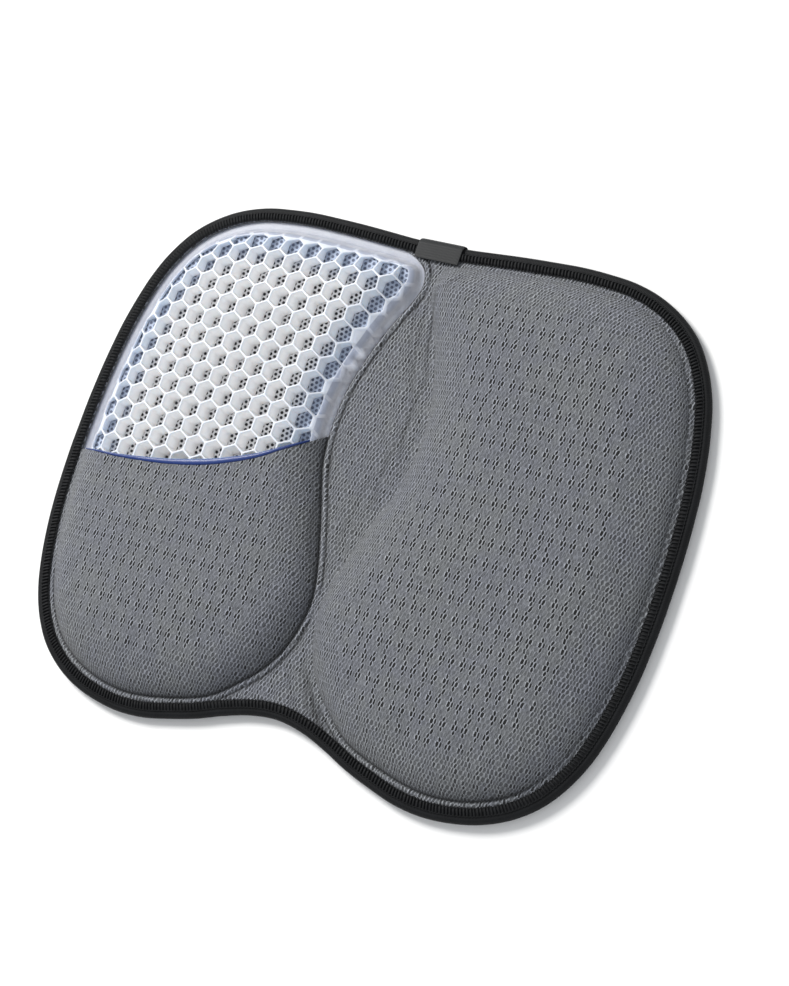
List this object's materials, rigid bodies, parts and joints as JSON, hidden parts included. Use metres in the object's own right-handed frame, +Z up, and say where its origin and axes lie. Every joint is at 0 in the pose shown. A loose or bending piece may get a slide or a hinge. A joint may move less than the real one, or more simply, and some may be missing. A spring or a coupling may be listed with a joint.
{
  "type": "seat cushion",
  "caption": "Contoured gel seat cushion with two raised lobes, a sunk centre channel, a bound rim and a cutaway corner that shows the honeycomb gel pad.",
  "frame": {"origin": "on the floor, under the middle of the cushion's box", "axes": "+X to the sitter's right, along the width; +Y to the rear, towards the tab; +Z up"},
  "size_m": [0.4496, 0.3654, 0.03],
  "materials": {
    "base_fabric": "black anti-slip knit",
    "foam": "open-cell foam",
    "liner_mesh": "white perforated mesh",
    "gel": "translucent white gel, smooth",
    "cover_mesh": "grey moulded spacer mesh",
    "cut_edge": "blue edge trim",
    "binding_tape": "black woven elastic tape",
    "binding_thread": "black overlock thread",
    "tab_fabric": "charcoal folded ribbon"
  },
  "bodies": {
    "root": {"base_cover": "base_fabric", "base_foam": "foam", "foam_core_left": "foam", "foam_core_right": "foam", "liner_mesh_left": "liner_mesh", "liner_mesh_right": "liner_mesh", "gel_pad_left": "gel", "gel_pad_right": "gel", "top_cover": "cover_mesh", "cut_edge_trim": "cut_edge", "edge_binding": "binding_tape", "binding_stitching": "binding_thread", "rear_tab": "tab_fabric"}
  },
  "joints": []
}
